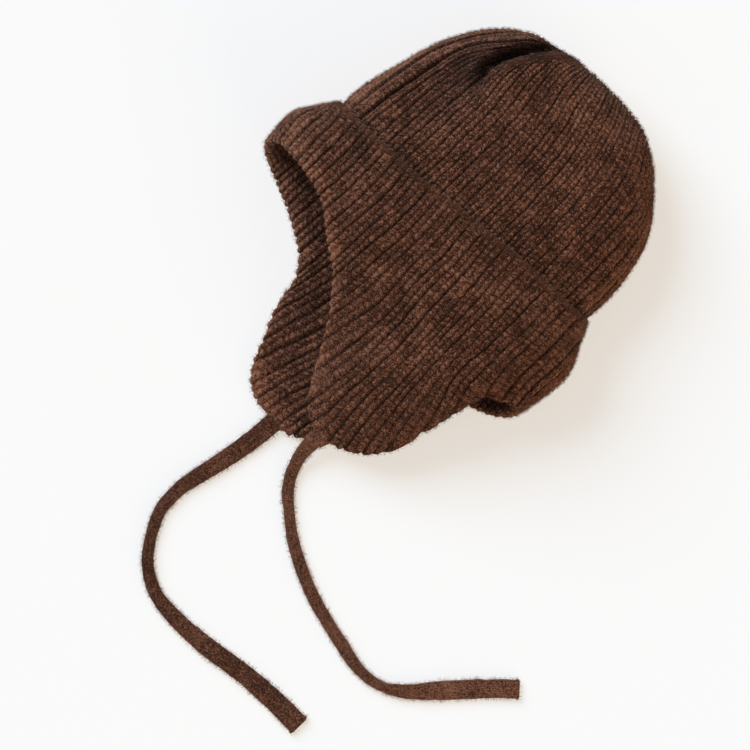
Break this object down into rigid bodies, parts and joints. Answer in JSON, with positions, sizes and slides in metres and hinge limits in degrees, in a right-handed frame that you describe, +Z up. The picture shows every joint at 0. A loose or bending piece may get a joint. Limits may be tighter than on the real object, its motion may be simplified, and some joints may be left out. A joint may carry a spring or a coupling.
{
  "type": "knitted baby bonnet",
  "caption": "Rib-knit baby bonnet with a domed crown, a wide doubled band shaped into ear flaps and a flat knitted tie on each flap tip, lying on its side.",
  "frame": {"origin": "on the surface the bonnet lies on, under the middle of the bonnet without its ties", "axes": "+Z up from the surface, +Y from the face opening towards the crown's top, +X from the forehead towards the nape"},
  "size_m": [0.2883, 0.3452, 0.0554],
  "materials": {
    "wool_knit": "soft brown wool, rib knit, slightly fuzzy",
    "wool_tie": "soft brown wool, flat narrow knit"
  },
  "bodies": {
    "root": {"crown": "wool_knit", "band": "wool_knit", "tie_near": "wool_tie", "tie_far": "wool_tie"}
  },
  "joints": []
}
